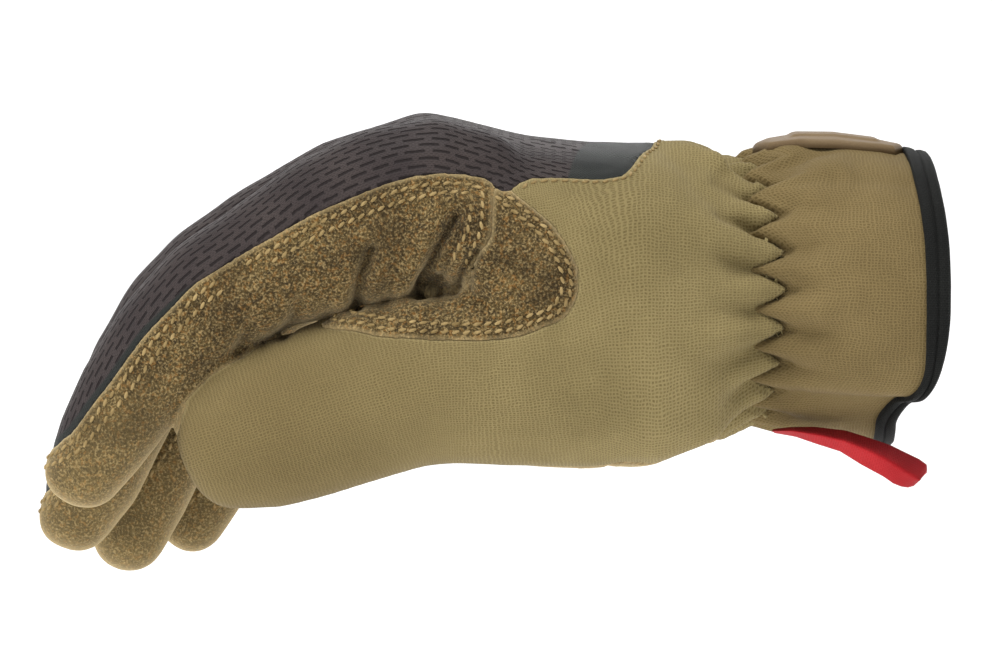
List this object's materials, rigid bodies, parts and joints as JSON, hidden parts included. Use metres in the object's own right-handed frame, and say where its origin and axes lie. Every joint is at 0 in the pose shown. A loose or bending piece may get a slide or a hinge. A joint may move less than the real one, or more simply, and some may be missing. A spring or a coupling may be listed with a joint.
{
  "type": "mechanic glove",
  "caption": "Stretch work glove for the right hand, shown worn: knit side and cuff, mesh back, suede palm, zigzag gathers at the wrist, bound hem and a pull tab.",
  "frame": {"origin": "middle of the cuff's mouth", "axes": "+X out of the cuff's mouth, away from the fingertips; +Z the back of the hand; +Y the little finger's side; -Y the thumb's side"},
  "size_m": [0.2062, 0.094, 0.1055],
  "materials": {
    "back_mesh": "dark brown-grey mesh with rows of small slots",
    "suede": "speckled brown suede, double stitched with pale thread",
    "knit": "tan stretch knit with a fine grid of holes",
    "binding_tape": "black folded tape, stitched along its middle",
    "label_rubber": "matt moulded rubber, plain",
    "webbing": "red webbing, folded lengthwise"
  },
  "bodies": {
    "root": {"back_panel": "back_mesh", "palm_panel": "suede", "thumb_front": "suede", "side_panel": "knit", "thumb_patch": "suede", "cuff": "knit", "hem_binding": "binding_tape", "cuff_label": "label_rubber", "pull_tab": "webbing"}
  },
  "joints": []
}
